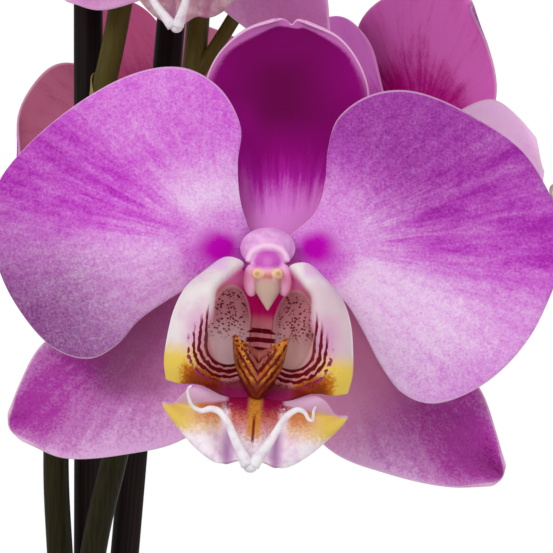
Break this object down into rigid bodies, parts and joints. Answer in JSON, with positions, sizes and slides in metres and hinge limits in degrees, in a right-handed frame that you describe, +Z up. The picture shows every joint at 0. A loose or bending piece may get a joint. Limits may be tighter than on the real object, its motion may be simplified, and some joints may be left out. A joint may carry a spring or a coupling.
{
  "type": "potted moth orchid",
  "caption": "Potted moth orchid: pink-purple blooms with patterned lips on two staked, arching stalks, above broad leaves in a plain white pot of bark.",
  "frame": {"origin": "middle of the pot's flat underside, on the surface it stands on", "axes": "+Z up; the main bloom faces -Y; +X to the right as one looks at that bloom's face"},
  "size_m": [0.3749, 0.1925, 0.6342],
  "materials": {
    "pot": "gloss white glaze",
    "bark": "rough, dry, brown",
    "crown": "matt green",
    "leaf": "smooth, slightly glossy green",
    "root": "matt silver-green",
    "stalk": "smooth olive",
    "bud": "smooth, pink over green",
    "stake": "dark stained",
    "clip": "translucent green",
    "tepal": "orchid purple with darker veins and a pale rim",
    "lip": "white with yellow tips and maroon marks",
    "column": "pale pink"
  },
  "bodies": {
    "root": {"pot": "pot", "bark": "bark", "crown": "crown", "leaf_1": "leaf", "leaf_2": "leaf", "leaf_3": "leaf", "leaf_4": "leaf", "leaf_5": "leaf", "leaf_6": "leaf", "root_1": "root", "root_2": "root", "root_3": "root", "stake_1": "stake", "stake_2": "stake", "bud_1_1": "bud", "bud_1_2": "bud", "bud_1_3": "bud", "spike_1": "stalk", "bud_2_1": "bud", "bud_2_2": "bud", "bud_2_3": "bud", "spike_2": "stalk", "clip_1_low": "clip", "clip_1_high": "clip", "clip_2_low": "clip", "clip_2_high": "clip", "bloom_1_dorsal_sepal": "tepal", "bloom_1_petal_left": "tepal", "bloom_1_petal_right": "tepal", "bloom_1_lateral_sepal_left": "tepal", "bloom_1_lateral_sepal_right": "tepal", "bloom_1_lip": "lip", "bloom_1_column": "column", "bloom_2_tepals": "tepal", "bloom_2_lip": "lip", "bloom_2_column": "column", "bloom_3_tepals": "tepal", "bloom_3_lip": "lip", "bloom_3_column": "column", "bloom_4_tepals": "tepal", "bloom_4_lip": "lip", "bloom_4_column": "column", "bloom_5_tepals": "tepal", "bloom_5_lip": "lip", "bloom_5_column": "column", "bloom_6_tepals": "tepal", "bloom_6_lip": "lip", "bloom_6_column": "column", "bloom_7_tepals": "tepal", "bloom_7_lip": "lip", "bloom_7_column": "column"}
  },
  "joints": []
}
